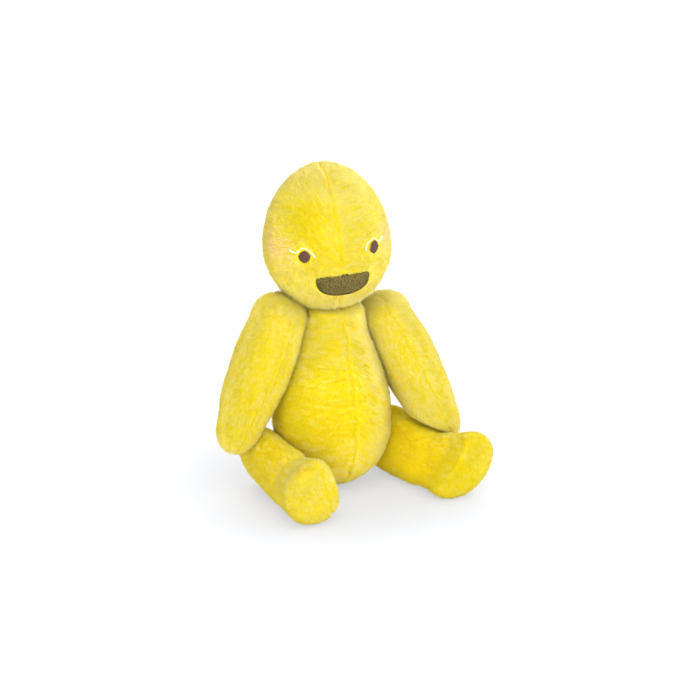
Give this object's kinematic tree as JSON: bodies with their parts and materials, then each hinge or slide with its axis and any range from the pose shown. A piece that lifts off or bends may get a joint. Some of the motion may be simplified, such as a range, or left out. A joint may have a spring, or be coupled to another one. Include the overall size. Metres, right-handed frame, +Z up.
{
  "type": "plush duck",
  "caption": "Sitting stuffed plush duck with an egg-shaped head, felt bill, stitched eyes, and a head, arms and legs that turn on disc joints.",
  "frame": {"origin": "on the floor at the flat of the seat, under the middle line of the body", "axes": "+Z up, the duck faces -Y, and its own left side is +X"},
  "size_m": [0.1585, 0.1193, 0.208],
  "materials": {
    "plush_cover": "short dense yellow pile on knitted backing",
    "stuffing": "loose polyester fibre",
    "pellet_bag_cloth": "plain woven bag of plastic pellets",
    "joint_plastic": "moulded, matt",
    "olive_felt": "pressed felt",
    "brown_thread": "satin stitch",
    "white_thread": "stitched line"
  },
  "bodies": {
    "torso": {"body_cover": "plush_cover", "body_stuffing": "stuffing", "hip_left_washer": "joint_plastic", "hip_right_washer": "joint_plastic", "neck_washer": "joint_plastic", "seat_pellet_bag": "pellet_bag_cloth", "shoulder_left_washer": "joint_plastic", "shoulder_right_washer": "joint_plastic"},
    "head": {"eye_left": "brown_thread", "eye_right": "brown_thread", "head_cover": "plush_cover", "head_stuffing": "stuffing", "lash_left": "white_thread", "lash_right": "white_thread", "lower_bill": "olive_felt", "neck_disc": "joint_plastic", "neck_lock": "joint_plastic", "upper_bill": "olive_felt"},
    "arm_left": {"arm_left_cover": "plush_cover", "arm_left_stuffing": "stuffing", "shoulder_left_disc": "joint_plastic", "shoulder_left_lock": "joint_plastic"},
    "arm_right": {"arm_right_cover": "plush_cover", "arm_right_stuffing": "stuffing", "shoulder_right_disc": "joint_plastic", "shoulder_right_lock": "joint_plastic"},
    "leg_left": {"foot_left_cover": "plush_cover", "hip_left_disc": "joint_plastic", "hip_left_lock": "joint_plastic", "leg_left_cover": "plush_cover", "leg_left_stuffing": "stuffing"},
    "leg_right": {"foot_right_cover": "plush_cover", "hip_right_disc": "joint_plastic", "hip_right_lock": "joint_plastic", "leg_right_cover": "plush_cover", "leg_right_stuffing": "stuffing"}
  },
  "joints": [
    {"name": "neck_turn", "type": "hinge", "parent": "torso", "child": "head", "pos_m": [0, 0, 0.11982], "axis": [-0.0957, -0.0523, 0.994], "range_deg": [-50, 70]},
    {"name": "shoulder_left_swing", "type": "hinge", "parent": "torso", "child": "arm_left", "pos_m": [0.02393, 0, 0.0955], "axis": [-0.9397, 0, -0.342], "range_deg": [0, 80]},
    {"name": "shoulder_right_swing", "type": "hinge", "parent": "torso", "child": "arm_right", "pos_m": [-0.02177, 0, 0.102], "axis": [-0.9336, 0, 0.3584], "range_deg": [-40, 80]},
    {"name": "hip_left_swing", "type": "hinge", "parent": "torso", "child": "leg_left", "pos_m": [0.03202, 0.00335, 0.0258], "axis": [-0.8996, -0.2243, 0.3746], "range_deg": [-85, 0]},
    {"name": "hip_right_swing", "type": "hinge", "parent": "torso", "child": "leg_right", "pos_m": [-0.0321, 0.00338, 0.0258], "axis": [-0.9266, -0.0324, -0.3746], "range_deg": [-85, 0]}
  ]
}
